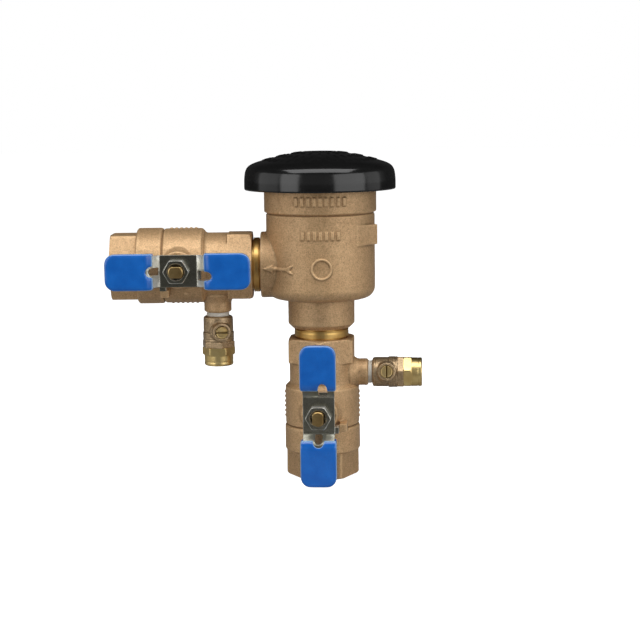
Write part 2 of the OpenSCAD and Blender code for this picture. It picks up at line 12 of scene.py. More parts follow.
import bpy
import numpy as np
from mathutils import Matrix, Vector
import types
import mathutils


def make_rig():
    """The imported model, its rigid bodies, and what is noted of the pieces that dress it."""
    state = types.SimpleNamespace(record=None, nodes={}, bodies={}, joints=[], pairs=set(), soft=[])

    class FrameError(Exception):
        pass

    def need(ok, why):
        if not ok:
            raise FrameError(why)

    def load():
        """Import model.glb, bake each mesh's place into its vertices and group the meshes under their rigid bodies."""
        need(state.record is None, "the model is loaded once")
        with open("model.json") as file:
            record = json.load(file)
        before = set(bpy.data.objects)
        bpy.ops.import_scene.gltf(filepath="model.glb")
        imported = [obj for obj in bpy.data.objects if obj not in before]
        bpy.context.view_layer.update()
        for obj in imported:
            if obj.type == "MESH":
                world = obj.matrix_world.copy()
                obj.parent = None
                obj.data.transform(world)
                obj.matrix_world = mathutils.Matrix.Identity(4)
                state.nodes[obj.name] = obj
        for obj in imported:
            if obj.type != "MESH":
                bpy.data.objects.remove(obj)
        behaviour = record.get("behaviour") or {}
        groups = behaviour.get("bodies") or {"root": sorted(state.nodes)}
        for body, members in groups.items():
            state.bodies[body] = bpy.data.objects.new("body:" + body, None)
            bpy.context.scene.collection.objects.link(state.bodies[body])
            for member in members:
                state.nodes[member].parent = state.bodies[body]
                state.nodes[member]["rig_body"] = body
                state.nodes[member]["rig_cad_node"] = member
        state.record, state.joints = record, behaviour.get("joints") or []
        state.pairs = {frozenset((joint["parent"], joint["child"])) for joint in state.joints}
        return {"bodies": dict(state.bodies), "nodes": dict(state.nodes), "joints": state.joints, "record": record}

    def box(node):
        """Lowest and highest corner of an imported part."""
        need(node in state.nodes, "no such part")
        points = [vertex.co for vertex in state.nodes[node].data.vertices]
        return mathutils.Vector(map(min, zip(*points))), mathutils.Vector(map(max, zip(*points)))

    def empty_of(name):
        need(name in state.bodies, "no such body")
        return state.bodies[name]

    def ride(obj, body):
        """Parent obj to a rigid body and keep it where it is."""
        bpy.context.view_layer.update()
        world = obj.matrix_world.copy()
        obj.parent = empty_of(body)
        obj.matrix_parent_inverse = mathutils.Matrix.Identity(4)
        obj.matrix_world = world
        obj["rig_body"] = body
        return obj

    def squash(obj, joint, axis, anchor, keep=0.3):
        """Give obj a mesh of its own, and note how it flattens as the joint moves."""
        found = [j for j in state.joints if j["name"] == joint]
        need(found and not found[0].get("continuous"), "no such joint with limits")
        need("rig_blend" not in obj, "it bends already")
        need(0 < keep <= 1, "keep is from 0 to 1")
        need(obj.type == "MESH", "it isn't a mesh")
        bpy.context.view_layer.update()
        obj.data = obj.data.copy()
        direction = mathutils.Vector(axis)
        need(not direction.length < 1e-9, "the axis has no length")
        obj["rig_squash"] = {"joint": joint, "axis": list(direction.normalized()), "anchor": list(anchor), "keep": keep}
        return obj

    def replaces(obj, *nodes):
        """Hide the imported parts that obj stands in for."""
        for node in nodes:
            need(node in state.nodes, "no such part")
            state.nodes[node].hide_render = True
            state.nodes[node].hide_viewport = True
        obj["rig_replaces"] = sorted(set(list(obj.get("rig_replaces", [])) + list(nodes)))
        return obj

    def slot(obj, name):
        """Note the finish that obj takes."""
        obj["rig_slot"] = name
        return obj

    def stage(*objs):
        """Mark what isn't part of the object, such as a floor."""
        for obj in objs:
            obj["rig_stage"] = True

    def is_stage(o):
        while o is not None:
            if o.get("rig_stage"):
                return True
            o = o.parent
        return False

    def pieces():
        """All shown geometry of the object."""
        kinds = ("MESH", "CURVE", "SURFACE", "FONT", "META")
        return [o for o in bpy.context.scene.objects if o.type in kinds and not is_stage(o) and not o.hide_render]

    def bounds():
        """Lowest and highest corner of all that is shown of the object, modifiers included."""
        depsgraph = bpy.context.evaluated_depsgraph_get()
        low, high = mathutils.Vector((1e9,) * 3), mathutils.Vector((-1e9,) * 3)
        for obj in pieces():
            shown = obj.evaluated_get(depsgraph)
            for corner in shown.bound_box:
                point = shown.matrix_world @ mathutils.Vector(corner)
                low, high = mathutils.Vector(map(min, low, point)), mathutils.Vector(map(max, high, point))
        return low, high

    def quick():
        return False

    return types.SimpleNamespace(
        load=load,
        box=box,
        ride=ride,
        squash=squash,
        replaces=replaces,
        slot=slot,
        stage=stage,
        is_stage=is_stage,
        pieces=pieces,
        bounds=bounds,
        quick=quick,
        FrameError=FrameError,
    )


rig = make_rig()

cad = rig.load()
PARTS = cad["nodes"]


def bounds():
    return [[float(x) for x in corner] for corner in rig.bounds()]


sizes = {"cad": bounds()}
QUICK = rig.quick()
COARSE = 1.5 if QUICK else 1.0
MM = 0.001
TURN = 2 * math.pi
SIDES = ("inlet", "outlet")

# ------------------------------------------------------------------ places (mm)
CANOPY_TOP = 198.9        # with the breaker at its lowest on the inlet nipple
OUTLET_Z = 130            # axis of the outlet, on the same terms
OUTLET_END_X = -127.7     # open end of the outlet valve
OUTLET_PORT_X = -36.7     # origin of the outlet nipple
VALVE_COCK_Z = 63.9       # test cock along its valve
HANDLE_STEM_Z = 42        # handle stem along its valve
COCK_STEM_Z = 40.4        # slotted stem along its test cock
COCK_CLOCK = {"inlet": -9.5, "outlet": -13.5}    # degrees each cock is turned on its axis

# how far the breaker stands above its lowest make-up on the inlet nipple
UP = round(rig.box("canopy")[1][2] * 1000 - CANOPY_TOP, 3)


def place(x, y, z, *turns):
    """a frame at x, y, z, turned by each (degrees, axis) in order"""
    matrix = Matrix.Translation((x, y, z))
    for degrees, axis in turns:
        matrix = matrix @ Matrix.Rotation(math.radians(degrees), 4, axis)
    return np.array(matrix, float)


def stem_frame(parent, z):
    """a stem's frame: its z runs out along the parent's -y"""
    return parent @ place(0, 0, z, (90, "X"))


def moved(points, frame):
    return points @ frame[:3, :3].T + frame[:3, 3]


def local(points, frame):
    return moved(points, np.linalg.inv(frame))


BODY = place(0, 0, UP)
# a valve's z runs from its open end towards the body
VALVE = {
    "inlet": place(0, 0, 0, (-4, "Z")),
    "outlet": place(OUTLET_END_X, 0, OUTLET_Z + UP, (90, "Y")),
}
# a cock's z runs from its valve's axis to the cock's open end
COCK = {side: VALVE[side] @ place(0, 0, VALVE_COCK_Z, (90, "Y"), (COCK_CLOCK[side], "Z"))
        for side in SIDES}


# ------------------------------------------------------------------ objects and meshes
MATERIALS = {}


def add_object(name, data):
    item = bpy.data.objects.new(name, data)
    bpy.context.scene.collection.objects.link(item)
    return item


def install(name, mesh, node, body, slot, material):
    """puts a finished mesh in the scene in place of a CAD node"""
    piece = add_object(name, mesh)
    mesh.materials.append(MATERIALS[material])
    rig.ride(piece, body)
    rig.slot(piece, slot)
    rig.replaces(piece, node)
    return piece


def shade_smooth(mesh):
    mesh.polygons.foreach_set("use_smooth", [True] * len(mesh.polygons))
    mesh.update()


def add_mesh(name, points, faces, node, body, slot, material, frame):
    points = moved(points, frame)
    mesh = bpy.data.meshes.new(name)
    if isinstance(faces, np.ndarray):
        mesh.vertices.add(len(points))
        write_points(mesh, points * MM)
        mesh.loops.add(faces.size)
        mesh.loops.foreach_set("vertex_index", faces.astype(np.int32).ravel())
        mesh.polygons.add(len(faces))
        starts = np.arange(0, faces.size, faces.shape[1], dtype=np.int32)
        mesh.polygons.foreach_set("loop_start", starts)
        mesh.update(calc_edges=True)
    else:
        mesh.from_pydata((points * MM).tolist(), [], faces)
    mesh.validate()
    # faces look outward: the signed volume is positive
    mesh.calc_loop_triangles()
    corners = np.empty(len(mesh.loop_triangles) * 3, np.int32)
    mesh.loop_triangles.foreach_get("vertices", corners)
    triangles = points[corners.reshape(-1, 3)]
    areas = np.cross(triangles[:, 1], triangles[:, 2])
    if np.einsum("ij,ij->i", triangles[:, 0], areas).sum() < 0:
        mesh.flip_normals()
    shade_smooth(mesh)
    return install(name, mesh, node, body, slot, material)


def read_vectors(mesh, key):
    values = np.empty(len(mesh.vertices) * 3, np.float32)
    mesh.vertices.foreach_get(key, values)
    return values.reshape(-1, 3).astype(float)


def write_points(mesh, points):
    mesh.vertices.foreach_set("co", points.astype(np.float32).ravel())


# ------------------------------------------------------------------ curves and profiles
def bell(distance, width):
    return np.exp(-(distance / width) ** 2)


def smoothstep(x, low, high):
    t = np.clip((x - low) / (high - low), 0, 1)
    return t * t * (3 - 2 * t)


def softmin(first, second, blend):
    share = np.clip(0.5 + 0.5 * (second - first) / blend, 0, 1)
    return second * (1 - share) + first * share - blend * share * (1 - share)


def centred(count, pitch):
    return [(i - (count - 1) / 2) * pitch for i in range(count)]


def hex_radius(angle, across_flats, spin):
    """radius of a hexagon with a corner at spin degrees"""
    off_flat = (angle - math.radians(spin)) % (math.pi / 3) - math.pi / 6
    return (across_flats / 2) / np.cos(off_flat)


def threads(angle, z, start, end, pitch, depth):
    """0..depth, a V thread between start and end that fades at both ends"""
    phase = (z / pitch - angle / TURN) % 1.0
    ridge = smoothstep(1 - np.abs(2 * phase - 1), 0.08, 0.92)
    fade = smoothstep(z, start, start + pitch) * (1 - smoothstep(z, end - pitch * 1.5, end))
    return depth * ridge * fade


def round_corner(before, corner, after, radius, steps):
    """an arc in place of a corner, with support points just outside it"""
    hold = 0.05
    back, ahead = before - corner, after - corner
    back_length, ahead_length = np.linalg.norm(back), np.linalg.norm(ahead)
    back, ahead = back / back_length, ahead / ahead_length
    angle = math.acos(float(np.clip(back @ ahead, -1, 1)))
    if angle > math.radians(176):
        return [corner]
    trim = min(radius / math.tan(angle / 2), 0.42 * back_length, 0.42 * ahead_length)
    radius = trim * math.tan(angle / 2)
    bisector = (back + ahead) / np.linalg.norm(back + ahead)
    centre = corner + bisector * (radius / math.sin(angle / 2))
    first = corner + back * trim - centre
    last = corner + ahead * trim - centre
    start = math.atan2(first[1], first[0])
    sweep = (math.atan2(last[1], last[0]) - start + math.pi) % TURN - math.pi
    points = []
    if back_length > 2.6 * trim + hold:
        points.append(corner + back * (trim + hold))
    for i in range(steps + 1):
        at = start + sweep * i / steps
        points.append(centre + radius * np.array([math.cos(at), math.sin(at)]))
    if ahead_length > 2.6 * trim + hold:
        points.append(corner + ahead * (trim + hold))
    return points


def rounded(corners, steps):
    """closed outline of (x, y, corner radius) with its corners rounded"""
    spots = [np.array(corner[:2], float) for corner in corners]
    points = []
    for i, corner in enumerate(corners):
        after = spots[(i + 1) % len(spots)]
        points += round_corner(spots[i - 1], spots[i], after, corner[2], steps)
    return np.array(points)


def stretch(profile, step, closed=True):
    """adds points along long straight runs"""
    points = []
    count = len(profile)
    for i in range(count if closed else count - 1):
        start, end = profile[i], profile[(i + 1) % count]
        pieces = max(1, int(math.ceil(np.linalg.norm(end - start) / step)))
        for j in range(pieces):
            points.append(start + (end - start) * j / pieces)
    if not closed:
        points.append(profile[-1])
    return np.array(points)


def catmull_rom(knots, steps):
    knots = np.asarray(knots, float)
    last = len(knots) - 1
    points = []
    for i in range(last):
        before, start, end = knots[max(i - 1, 0)], knots[i], knots[i + 1]
        after = knots[min(i + 2, last)]
        for k in range(steps):
            t = k / steps
            points.append(0.5 * (
                (2 * start) + (end - before) * t
                + (2 * before - 5 * start + 4 * end - after) * t * t
                + (3 * start - before - 3 * end + after) * t ** 3))
    points.append(knots[-1])
    return points


# ------------------------------------------------------------------ swept shapes
def quads(rings, segments, closed):
    i = np.arange(rings if closed else rings - 1)[:, None]
    j = np.arange(segments)[None, :]
    here, after = i * segments, ((i + 1) % rings) * segments
    beside = (j + 1) % segments
    corners = [here + j, here + beside, after + beside, after + j]
    return np.stack(corners, -1).reshape(-1, 4)


def capped(rings, segments):
    """quads of an open skin, with a fan to one extra point at each end"""
    faces = quads(rings, segments, closed=False).tolist()
    last, pole = (rings - 1) * segments, rings * segments
    for j in range(segments):
        beside = (j + 1) % segments
        faces.append((pole, beside, j))
        faces.append((pole + 1, last + j, last + beside))
    return faces


def spun(profile, segments, shape):
    """(r, z) profile turned about Z; shape(angle, r, z) -> r, z makes it other than round"""
    angle = np.arange(segments) / segments * TURN
    radius = np.repeat(profile[:, :1], segments, 1)
    z = np.repeat(profile[:, 1:2], segments, 1)
    angle = np.repeat(angle[None, :], len(profile), 0)
    radius, z = shape(angle, radius, z)
    points = np.stack([radius * np.cos(angle), radius * np.sin(angle), z], -1)
    return points.reshape(-1, 3)


def wheel(corners, step, segments, shape, corner_steps=4):
    """closed section of (r, z, corner radius) turned about Z"""
    profile = stretch(rounded(corners, corner_steps), step)
    return spun(profile, segments, shape), quads(len(profile), segments, closed=True)


def dome(profile, segments, shape):
    """open (r, z) profile from axis to axis turned about Z"""
    points = spun(profile[1:-1], segments, shape)
    points = np.vstack([points, [[0, 0, profile[0][1]], [0, 0, profile[-1][1]]]])
    return points, capped(len(profile) - 2, segments)


def tube(path, radius, segments):
    path = np.asarray(path, float)
    along = np.gradient(path, axis=0)
    along /= np.linalg.norm(along, axis=1)[:, None]
    side = np.cross(along, np.array([0, 0, 1.0]))
    side /= np.linalg.norm(side, axis=1)[:, None]
    over = np.cross(side, along)
    angle = np.arange(segments) / segments * TURN
    cosine, sine = np.cos(angle)[None, :, None], np.sin(angle)[None, :, None]
    ring = cosine * side[:, None, :] + sine * over[:, None, :]
    points = (path[:, None, :] + radius * ring).reshape(-1, 3)
    points = np.vstack([points, path[:1], path[-1:]])
    return points, capped(len(path), segments)


# ------------------------------------------------------------------ castings
# smooth 3-D value noise, the same on every run
NOISE_GRID = np.random.RandomState(7).rand(64, 64, 64) * 2 - 1


def value_noise(points, size):
    scaled = points / size
    cell = np.floor(scaled).astype(int)
    part = scaled - cell
    part = part * part * (3 - 2 * part)
    total = np.zeros(len(points))
    for corner in np.ndindex(2, 2, 2):
        share = np.where(corner, part, 1 - part)
        weight = share[:, 0] * share[:, 1] * share[:, 2]
        total += weight * NOISE_GRID[tuple(((cell + corner) % 64).T)]
    return total


def baked(mesh, name, *modifiers):
    """a mesh as (kind, settings) modifiers leave it; the one it came from is removed"""
    scratch = add_object("scratch", mesh)
    for kind, settings in modifiers:
        modifier = scratch.modifiers.new(kind, kind)
        for key, value in settings.items():
            setattr(modifier, key, value)
    graph = bpy.context.evaluated_depsgraph_get()
    result = bpy.data.meshes.new_from_object(scratch.evaluated_get(graph), depsgraph=graph)
    bpy.data.objects.remove(scratch)
    bpy.data.meshes.remove(mesh)
    result.name = name
    result.materials.clear()
    return result


def cast(name, node, body, slot, material, voxel, smoothing, keep,
         displace=None, rough=0.0, deep=None):
    """a CAD node's own shape with softened edges, as a casting or a dipped coat has

    keep is the share of faces left after thinning. displace(points, normals) gives an
    offset along the normals, and the last argument gives each point's share of painted shade, kept in a point attribute
    of the same name.
    """
    mesh = PARTS[node].data.copy()
    write_points(mesh, read_vectors(mesh, "co") * 1000)
    mesh = baked(
        mesh, name,
        ("WELD", dict(merge_threshold=0.0005)),
        ("REMESH", dict(mode="VOXEL", voxel_size=voxel, adaptivity=0)),
        ("SMOOTH", dict(factor=0.5, iterations=smoothing)))
    points = read_vectors(mesh, "co")
    if displace:
        normals = read_vectors(mesh, "normal")
        offset = displace(points, normals)
        if rough:
            offset = offset + rough * (
                0.6 * value_noise(points, 2.3) + 0.4 * value_noise(points + 17, 1.1)
                + 0.5 * value_noise(points + 41, 7.0))
        points = points + normals * offset[:, None]
    if not QUICK:
        write_points(mesh, points)
        mesh.update()
        mesh = baked(mesh, name, ("DECIMATE", dict(ratio=keep)))
        points = read_vectors(mesh, "co")
    write_points(mesh, points * MM)
    shade_smooth(mesh)
    if deep:
        attribute = mesh.attributes.new("deep", "FLOAT", "POINT")
        attribute.data.foreach_set("value", deep(points).astype(np.float32))
    install(name, mesh, node, body, slot, material)


# ------------------------------------------------------------------ node graphs
class Graph:
    """builds shader nodes; a value may be a number, a tuple or another node's output"""

    def __init__(self, owner, end_type):
        owner.use_nodes = True
        self.tree = owner.node_tree
        self.end = next(n for n in self.tree.nodes if n.type == end_type)

    def feed(self, socket, value):
        if isinstance(value, bpy.types.NodeSocket):
            self.tree.links.new(value, socket)
        elif isinstance(value, tuple) and socket.type == "RGBA":
            socket.default_value = (*value, 1)
        else:
            socket.default_value = value

    def node(self, kind, inputs=None, **settings):
        node = self.tree.nodes.new(kind)
        for key, value in settings.items():
            setattr(node, key, value)
        for key, value in (inputs or {}).items():
            self.feed(node.inputs[key], value)
        return node

    def finish(self, **inputs):
        """feeds the end node; an underscore stands for a space"""
        for key, value in inputs.items():
            self.feed(self.end.inputs[key.replace("_", " ")], value)

    def ramp(self, source, stops):
        """stops are (position, grey)"""
        node = self.node("ShaderNodeValToRGB")
        elements = node.color_ramp.elements
        while len(elements) < len(stops):
            elements.new(0.5)
        for i, (position, grey) in enumerate(stops):
            elements[i].position = position
            elements[i].color = (grey, grey, grey, 1)
        self.feed(node.inputs["Fac"], source)
        return node.outputs["Color"]

    def mix(self, share, under, over, blend="MIX"):
        inputs = {0: share, 6: under, 7: over}
        return self.node("ShaderNodeMix", inputs, data_type="RGBA", blend_type=blend).outputs[2]

    def layer(self, source, stops, under, over):
        """over shows where the ramped source is high"""
        return self.mix(self.ramp(source, stops), under, over)

    def math(self, operation, first, second=0.0, clamp=False):
        inputs = {0: first, 1: second}
        return self.node("ShaderNodeMath", inputs, operation=operation, use_clamp=clamp).outputs[0]

    def vary(self, base, source, amount):
        return self.math("ADD", base, self.math("MULTIPLY", source, amount))

    def split(self, vector):
        return self.node("ShaderNodeSeparateXYZ", {0: vector}).outputs


class Paint(Graph):
    """a product material, textured in object space"""

    def __init__(self, name):
        material = bpy.data.materials.new(name)
        super().__init__(material, "BSDF_PRINCIPLED")
        self.coords = self.node("ShaderNodeTexCoord").outputs["Object"]
        MATERIALS[name] = material

    def noise(self, size, detail=2.0, rough=0.5, shift=0.0, squash=(1.0, 1.0, 1.0)):
        """size of the blotches in mm; shift sets apart noises of one material"""
        mapping = self.node("ShaderNodeMapping", {
            "Location": (shift, shift * 0.7, shift * 1.3), "Scale": squash,
            "Vector": self.coords})
        return self.node("ShaderNodeTexNoise", {
            "Vector": mapping.outputs["Vector"], "Scale": 1000.0 / size,
            "Detail": detail, "Roughness": rough}).outputs["Fac"]

    def bump(self, relief, strength, depth, under=None):
        """depth in mm, on top of the bump under it"""
        inputs = {"Strength": strength, "Distance": depth * MM, "Height": relief}
        if under is not None:
            inputs["Normal"] = under
        return self.node("ShaderNodeBump", inputs).outputs["Normal"]

    def geometry(self):
        return self.node("ShaderNodeNewGeometry").outputs


def srgb(*channels):
    """linear colour from 0..255 values"""
    return tuple((c / 255 / 12.92) if c <= 10.3 else ((c / 255 + 0.055) / 1.055) ** 2.4
                 for c in channels)


def shade(colour, factor):
    return tuple(min(1, channel * factor) for channel in colour)


# ------------------------------------------------------------------ materials
def bronze(name, light, middle, dark, rough, metal, bump):
    paint = Paint(name)
    clouds = paint.noise(16, shift=3.1)
    mottle = paint.noise(3.0, detail=4, rough=0.6, shift=9.7)
    grain = paint.noise(0.75, detail=3, rough=0.6, shift=5.3)
    pits = paint.noise(0.9, shift=21.0)
    # 0 in hollows, 0.5 on flats, 1 on edges
    edge = paint.ramp(paint.geometry()["Pointiness"], [(0.44, 0.0), (0.5, 0.5), (0.57, 1.0)])
    paler = tuple(0.7 * mid + 0.3 * high for mid, high in zip(middle, light))
    colour = paint.layer(clouds, [(0.35, 0.0), (0.65, 0.7)], middle, paler)
    colour = paint.layer(mottle, [(0.42, 0.0), (0.72, 0.40)], colour, dark)
    colour = paint.layer(grain, [(0.50, 0.0), (0.70, 0.55)], colour, light)
    colour = paint.layer(grain, [(0.32, 0.50), (0.48, 0.0)], colour, shade(dark, 0.6))
    colour = paint.layer(pits, [(0.24, 0.6), (0.34, 0.0)], colour, shade(dark, 0.5))
    # painted highlight: edges are painted lighter than the lightest bronze
    raised = paint.math("SUBTRACT", edge, 0.5, clamp=True)
    colour = paint.mix(paint.math("MULTIPLY", raised, 1.2), colour, shade(light, 1.25))
    # painted shade: recesses are painted darker
    recess_shade = paint.math("SUBTRACT", 0.5, edge, clamp=True)
    colour = paint.mix(paint.math("MULTIPLY", recess_shade, 1.5), colour, shade(dark, 0.4))
    sand = paint.noise(1.3, detail=3, rough=0.6, shift=2.0)
    normal = paint.bump(sand, strength=0.30 * bump, depth=0.10)
    fine_sand = paint.noise(0.40, detail=3, rough=0.6, shift=8.0)
    normal = paint.bump(fine_sand, strength=0.60 * bump, depth=0.05, under=normal)
    normal = paint.bump(pits, strength=0.25 * bump, depth=0.05, under=normal)
    paint.finish(
        Base_Color=colour, Metallic=metal, Roughness=paint.vary(rough - 0.1, mottle, 0.22),
        Normal=normal, Coat_Weight=0.4, Coat_Roughness=0.45)


def brass(name, light, dark, rough, axis, deep=False):
    """turned brass, its fine lines round the axis, with painted shade in recesses; the last argument adds painted shade
    from a point attribute of its own name
    """
    paint = Paint(name)
    blotch = paint.noise(7, detail=3, shift=1.0)
    grain = paint.noise(0.5, shift=4.0)
    colour = paint.layer(blotch, [(0.35, 0.0), (0.7, 1.0)], light, dark)
    colour = paint.layer(grain, [(0.5, 0.0), (0.8, 0.25)], colour, shade(dark, 0.7))
    point = paint.geometry()["Pointiness"]
    # painted shade in recesses
    colour = paint.layer(point, [(0.40, 0.6), (0.49, 0.0)], colour, shade(dark, 0.4))
    # painted shade down in the screw slot
    if deep:
        depth = paint.node("ShaderNodeAttribute", attribute_name="deep").outputs["Fac"]
        colour = paint.mix(depth, colour, shade(dark, 0.4))
    lines = paint.noise(1.0, squash=tuple(6.0 if each == axis else 0.4 for each in "xyz"))
    paint.finish(
        Base_Color=colour, Metallic=1.0, Roughness=paint.vary(rough - 0.06, blotch, 0.14),
        Normal=paint.bump(lines, strength=0.22, depth=0.03))


def zinc(name, bend_shade):
    """plating with painted reflections: darker on faces to the front, near white elsewhere; the second argument adds
    painted shade on the slanted faces of the bent parts
    """
    paint = Paint(name)
    blotch = paint.noise(5, detail=3, rough=0.6, shift=2.0)
    grain = paint.noise(0.9, detail=3, rough=0.55, shift=4.0)
    blotch_stops = [(0.35, 0.0), (0.7, 1.0)]
    # painted reflection: faces to the front are painted dark, for the dark room in front of them
    front = paint.layer(blotch, blotch_stops, srgb(164, 163, 150), srgb(132, 130, 116))
    front = paint.layer(grain, [(0.52, 0.0), (0.75, 0.5)], front, srgb(104, 98, 82))
    # painted reflection: faces turned from the front, edges and bent parts, are painted near white
    bright_reflection = paint.layer(blotch, blotch_stops, srgb(232, 231, 224), srgb(200, 197, 184))
    bright_reflection = paint.layer(grain, [(0.50, 0.0), (0.72, 0.6)], bright_reflection, srgb(150, 145, 128))
    geometry = paint.geometry()
    normal = paint.split(geometry["Normal"])
    toward_front = paint.math("MULTIPLY", normal["Y"], -1.0)
    bright_share = paint.ramp(toward_front, [(0.90, 1.0), (0.985, 0.0)])
    if bend_shade:
        # painted shade on the slanted faces of the bent parts
        tilt = paint.math("ABSOLUTE", normal["Z"])
        slope_shade = paint.math(
            "MULTIPLY", paint.ramp(tilt, [(0.12, 0.0), (0.35, 0.8)]),
            paint.ramp(tilt, [(0.80, 1.0), (0.95, 0.0)]))
        bright_reflection = paint.mix(slope_shade, bright_reflection, srgb(112, 112, 98))
    colour = paint.mix(bright_share, front, bright_reflection)
    # painted shade in recesses
    recess_shade_stops = [(0.42, 0.7), (0.49, 0.0)]
    colour = paint.layer(geometry["Pointiness"], recess_shade_stops, colour, srgb(92, 86, 74))
    relief = paint.bump(paint.noise(3.5, shift=7.0), strength=0.25, depth=0.05)
    relief = paint.bump(grain, strength=0.18, depth=0.02, under=relief)
    metal = paint.math("SUBTRACT", 1.0, paint.math("MULTIPLY", bright_share, 0.38))
    paint.finish(
        Base_Color=colour, Metallic=metal, Roughness=paint.vary(0.14, blotch, 0.16),
        Normal=relief)


def blue_vinyl():
    paint = Paint("blue_vinyl")
    blotch = paint.noise(9, shift=2.0)
    grain = paint.noise(0.7, shift=4.0)
    colour = paint.layer(
        blotch, [(0.3, 0.0), (0.7, 1.0)], srgb(9, 97, 190), srgb(21, 110, 206))
    colour = paint.layer(grain, [(0.5, 0.0), (0.8, 0.3)], colour, srgb(5, 72, 152))
    # painted highlight: only the rounded edge of the dip is painted paler, the faces and the walls aren't
    facing = paint.math("ABSOLUTE", paint.split(paint.geometry()["Normal"])["Y"])
    rim_highlight_stops = [(0.12, 0.0), (0.32, 0.85), (0.55, 0.85), (0.76, 0.0)]
    colour = paint.layer(facing, rim_highlight_stops, colour, srgb(166, 206, 240))
    normal = paint.bump(grain, strength=0.05, depth=0.03)
    waves = paint.noise(4.0, shift=7.0)
    normal = paint.bump(waves, strength=0.15, depth=0.08, under=normal)
    paint.finish(
        Base_Color=colour, Metallic=0.0, Roughness=paint.vary(0.20, grain, 0.10),
        Normal=normal, Specular_IOR_Level=0.5, Coat_Weight=0.3, Coat_Roughness=0.12)


def canopy_black():
    paint = Paint("canopy_black")
    blotch = paint.noise(6, detail=3, shift=2.0)
    grain = paint.noise(0.6, shift=4.0)
    normal = paint.bump(paint.noise(5.0, shift=7.0), strength=0.06, depth=0.08)
    normal = paint.bump(grain, strength=0.05, depth=0.02, under=normal)
    paint.finish(
        Base_Color=paint.mix(blotch, srgb(17, 17, 17), srgb(26, 26, 26)), Metallic=0.0,
        Roughness=paint.vary(0.10, grain, 0.10), Normal=normal, Specular_IOR_Level=0.5)


def plain(name, first, second, rough, metal=0.0, grain_size=0.8, bump=0.1):
    paint = Paint(name)
    blotch = paint.noise(6, detail=3, shift=2.0)
    grain = paint.noise(grain_size, detail=3, rough=0.55, shift=4.0)
    colour = paint.mix(blotch, first, second)
    colour = paint.layer(grain, [(0.5, 0.0), (0.85, 0.35)], colour, shade(second, 0.75))
    paint.finish(
        Base_Color=colour, Metallic=metal, Roughness=paint.vary(rough - 0.06, grain, 0.14),
        Normal=paint.bump(grain, strength=bump, depth=0.03))


bronze("cast_bronze", light=srgb(235, 200, 154), middle=srgb(207, 169, 123),
       dark=srgb(167, 131, 89), rough=0.55, metal=0.62, bump=1.0)
bronze("cock_bronze", light=srgb(224, 196, 154), middle=srgb(182, 155, 119),
       dark=srgb(130, 107, 79), rough=0.40, metal=0.8, bump=0.9)
for axis in "xz":
    brass(f"brass_{axis}", light=srgb(244, 218, 152), dark=srgb(222, 190, 124),
          rough=0.34, axis=axis)
# the stems' brass is a darker copy of the turned brass: its colours hold painted shade, as the stem ends face the dark
# room in front
brass("brass_y", light=srgb(206, 176, 120), dark=srgb(160, 130, 82), rough=0.30, axis="y")
brass("brass_screw", light=srgb(226, 200, 142), dark=srgb(190, 160, 104), rough=0.34,
      axis="y", deep=True)
brass("nipple_z", light=srgb(230, 190, 116), dark=srgb(204, 158, 88), rough=0.36, axis="z")
brass("nipple_x", light=srgb(222, 182, 112), dark=srgb(196, 150, 82), rough=0.38, axis="x")
zinc("zinc", bend_shade=True)
zinc("zinc_nut", bend_shade=False)
blue_vinyl()
canopy_black()
plain("ptfe", srgb(236, 235, 230), srgb(222, 221, 214), rough=0.45)
plain("tape", srgb(240, 238, 230), srgb(214, 206, 190), rough=0.6, grain_size=0.5, bump=0.5)
plain("rubber", srgb(26, 26, 27), srgb(38, 37, 36), rough=0.7, bump=0.3)
plain("moulded", srgb(196, 197, 193), srgb(180, 181, 178), rough=0.42)
plain("steel", srgb(186, 187, 188), srgb(160, 160, 160), rough=0.28, metal=1.0)
plain("chromed", srgb(214, 214, 216), srgb(196, 197, 200), rough=0.12, metal=1.0, bump=0.03)

SLOT_MATERIAL = {
    "cast_bronze": "cast_bronze", "yellow_brass": "brass_y", "zinc_plate": "zinc",
    "blue_vinyl": "blue_vinyl", "canopy_plastic": "canopy_black",
    "moulded_plastic": "moulded", "ptfe": "ptfe", "thread_tape": "tape",
    "seal_rubber": "rubber", "spring_steel": "steel", "ball_chrome": "chromed",
}
slot_of = {part["node"]: part["material_slot"] for part in cad["record"]["subparts"]}
for node_name, part in PARTS.items():
    material = MATERIALS[SLOT_MATERIAL[slot_of[node_name]]]
    if not part.data.materials:
        part.data.materials.append(material)
    for material_slot in part.material_slots:
        material_slot.material = material


# ------------------------------------------------------------------ marks on the castings
def polygon_distance(x, z, outline):
    """signed distance to a polygon, negative inside"""
    distance = np.full(len(x), 1e9)
    inside = np.zeros(len(x), bool)
    for i, (start_x, start_z) in enumerate(outline):
        end_x, end_z = outline[(i + 1) % len(outline)]
        run, rise = end_x - start_x, end_z - start_z
        t = ((x - start_x) * run + (z - start_z) * rise) / (run * run + rise * rise)
        t = np.clip(t, 0, 1)
        distance = np.minimum(
            distance, np.hypot(x - start_x - t * run, z - start_z - t * rise))
        if start_z != end_z:
            crosses = (start_z > z) != (end_z > z)
            inside ^= crosses & (x < run * (z - start_z) / rise + start_x)
    return np.where(inside, -distance, distance)


# (x, z) of the arrow by the outlet, about its own origin
ARROW = [
    (-17.6, 0), (-12.2, 2.1), (-12.2, 0.8), (-4, 0.8), (-1.6, 2.4), (0, 2.4),
    (-1.8, 0), (0, -2.4), (-1.6, -2.4), (-4, -0.8), (-12.2, -0.8), (-12.2, -2.1),
]
ARROW_X, ARROW_Z = -17, 129.4
# rows of upright bars on the front: number, height of a bar, z of its foot
BAR_ROWS = [(7, 4.8, 147.4), (9, 5.0, 167.5)]
BAR_WIDTH, BAR_PITCH = 1.7, 3.6
# raised circle on the front
CIRCLE_X, CIRCLE_RADIUS, CIRCLE_HALF_WIDTH = 0.5, 5.85, 0.55


